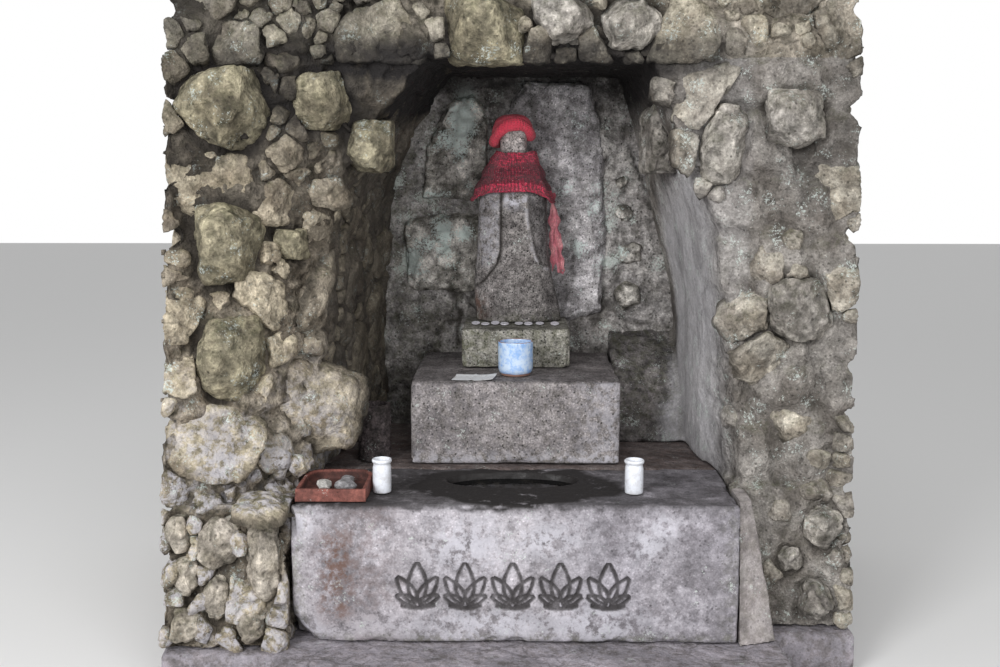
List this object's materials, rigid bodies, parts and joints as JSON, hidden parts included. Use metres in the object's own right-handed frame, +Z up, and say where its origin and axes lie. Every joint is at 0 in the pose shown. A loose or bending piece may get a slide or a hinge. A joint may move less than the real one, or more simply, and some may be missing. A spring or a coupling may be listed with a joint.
{
  "type": "wayside shrine",
  "caption": "Wayside shrine: a small robed stone figure with knitted cap and bib on stacked blocks, in a niche of mortared rubble, with a basin and offerings.",
  "frame": {"origin": "centre of the footprint at ground level", "axes": "+X to the viewer's right, +Y into the niche, +Z up"},
  "size_m": [1.44, 1.12, 1.545],
  "materials": {
    "footing": "weathered concrete",
    "altar_block": "weathered cast stone",
    "podium_fill": "damp mortar",
    "middle_block": "weathered cast stone",
    "plinth_block": "mossy cast stone",
    "statue_body": "weathered carved stone",
    "statue_head": "weathered carved stone",
    "knitted_cap": "knitted wool",
    "knitted_bib": "knitted wool",
    "bib_tail": "torn faded cloth",
    "tea_cup": "mottled glaze",
    "offering_paper": "plain paper",
    "vase_left": "white glaze",
    "vase_right": "white glaze",
    "terracotta_tray": "fired clay",
    "tray_pebbles": "water-worn",
    "coins": "worn metal",
    "flower_vase": "dark damp stone",
    "left_base": "weathered masonry",
    "left_base_stones": "weathered masonry",
    "left_jamb": "weathered masonry",
    "left_jamb_stones": "weathered masonry",
    "left_head_stone": "weathered masonry",
    "right_base": "weathered masonry",
    "right_base_stones": "weathered masonry",
    "right_fillet": "weathered masonry",
    "right_jamb": "weathered masonry",
    "right_jamb_stones": "weathered masonry",
    "right_boulder": "weathered masonry",
    "niche_head": "weathered masonry",
    "lintel_stone_left": "weathered masonry",
    "lintel_stone_centre": "weathered masonry",
    "lintel_stone_right": "weathered masonry",
    "back_wall": "weathered masonry",
    "back_slab": "weathered masonry",
    "back_stone_upper": "weathered masonry",
    "back_stone_lower": "weathered masonry",
    "back_stones_right": "weathered masonry",
    "back_toe": "weathered masonry",
    "coping": "weathered masonry"
  },
  "bodies": {
    "root": {"footing": "footing", "altar_block": "altar_block", "podium_fill": "podium_fill", "middle_block": "middle_block", "plinth_block": "plinth_block", "statue_body": "statue_body", "statue_head": "statue_head", "knitted_cap": "knitted_cap", "knitted_bib": "knitted_bib", "bib_tail": "bib_tail", "tea_cup": "tea_cup", "offering_paper": "offering_paper", "vase_left": "vase_left", "vase_right": "vase_right", "terracotta_tray": "terracotta_tray", "tray_pebbles": "tray_pebbles", "coins": "coins", "flower_vase": "flower_vase", "left_base": "left_base", "left_base_stones": "left_base_stones", "left_jamb": "left_jamb", "left_jamb_stones": "left_jamb_stones", "left_head_stone": "left_head_stone", "right_base": "right_base", "right_base_stones": "right_base_stones", "right_fillet": "right_fillet", "right_jamb": "right_jamb", "right_jamb_stones": "right_jamb_stones", "right_boulder": "right_boulder", "niche_head": "niche_head", "lintel_stone_left": "lintel_stone_left", "lintel_stone_centre": "lintel_stone_centre", "lintel_stone_right": "lintel_stone_right", "back_wall": "back_wall", "back_slab": "back_slab", "back_stone_upper": "back_stone_upper", "back_stone_lower": "back_stone_lower", "back_stones_right": "back_stones_right", "back_toe": "back_toe", "coping": "coping"}
  },
  "joints": []
}
